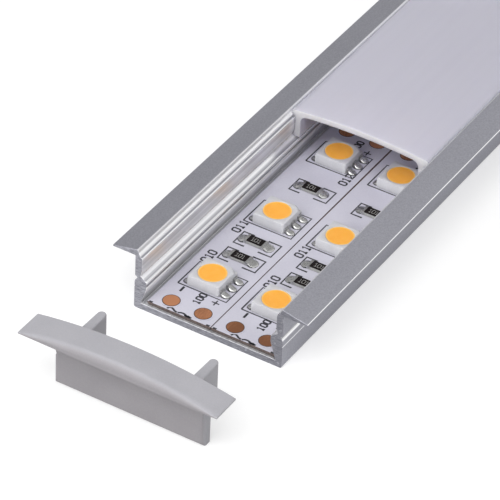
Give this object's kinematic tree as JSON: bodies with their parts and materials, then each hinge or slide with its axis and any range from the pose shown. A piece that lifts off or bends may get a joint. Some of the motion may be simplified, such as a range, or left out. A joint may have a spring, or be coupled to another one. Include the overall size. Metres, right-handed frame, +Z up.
{
  "type": "led strip aluminium profile",
  "caption": "Recessed aluminium channel with side flanges, holding two LED strips side by side under a sliding milky cover, with a push-in end cap standing off its open end.",
  "frame": {"origin": "middle of the profile's flat underside, on the surface that it stands on", "axes": "+Y along the profile from the end cap towards the end where the cover slides out, +Z up through the open side, +X across to the right"},
  "size_m": [0.03, 0.162, 0.0103],
  "materials": {
    "anodised_aluminium": "satin anodised extrusion with fine lengthwise lines",
    "opal_plastic": "milky translucent, smooth satin",
    "grey_plastic": "satin moulded light grey",
    "brown_adhesive": "matt sticky tape",
    "white_board": "white solder mask with black print",
    "white_housing": "satin white moulding",
    "phosphor": "smooth yellow silicone",
    "tinned_metal": "bright tinned",
    "solder": "smooth shiny solder",
    "copper": "dull bare copper",
    "black_coating": "black lacquer with white figures"
  },
  "bodies": {
    "profile": {"aluminium_profile": "anodised_aluminium", "adhesive_tape_left": "brown_adhesive", "strip_board_left": "white_board", "copper_pads_left": "copper", "led_phosphor_left": "phosphor", "led_leads_left": "tinned_metal", "led_solder_left": "solder", "resistor_terminals_left": "tinned_metal", "resistor_solder_left": "solder", "led_housing_left_1": "white_housing", "resistor_left_1": "black_coating", "led_housing_left_2": "white_housing", "resistor_left_2": "black_coating", "led_housing_left_3": "white_housing", "resistor_left_3": "black_coating", "led_housing_left_4": "white_housing", "resistor_left_4": "black_coating", "led_housing_left_5": "white_housing", "resistor_left_5": "black_coating", "led_housing_left_6": "white_housing", "resistor_left_6": "black_coating", "adhesive_tape_right": "brown_adhesive", "strip_board_right": "white_board", "copper_pads_right": "copper", "led_phosphor_right": "phosphor", "led_leads_right": "tinned_metal", "led_solder_right": "solder", "resistor_terminals_right": "tinned_metal", "resistor_solder_right": "solder", "led_housing_right_1": "white_housing", "resistor_right_1": "black_coating", "led_housing_right_2": "white_housing", "resistor_right_2": "black_coating", "led_housing_right_3": "white_housing", "resistor_right_3": "black_coating", "led_housing_right_4": "white_housing", "resistor_right_4": "black_coating", "led_housing_right_5": "white_housing", "resistor_right_5": "black_coating", "led_housing_right_6": "white_housing", "resistor_right_6": "black_coating"},
    "cover": {"opal_cover": "opal_plastic"},
    "cap": {"end_cap": "grey_plastic"}
  },
  "joints": [
    {"name": "cover_slide", "type": "slide", "parent": "profile", "child": "cover", "axis": [0, 1, 0], "range_m": [-0.0389, 0.05]},
    {"name": "cap_slide", "type": "slide", "parent": "profile", "child": "cap", "axis": [0, 1, 0], "range_m": [0, 0.0175]}
  ]
}
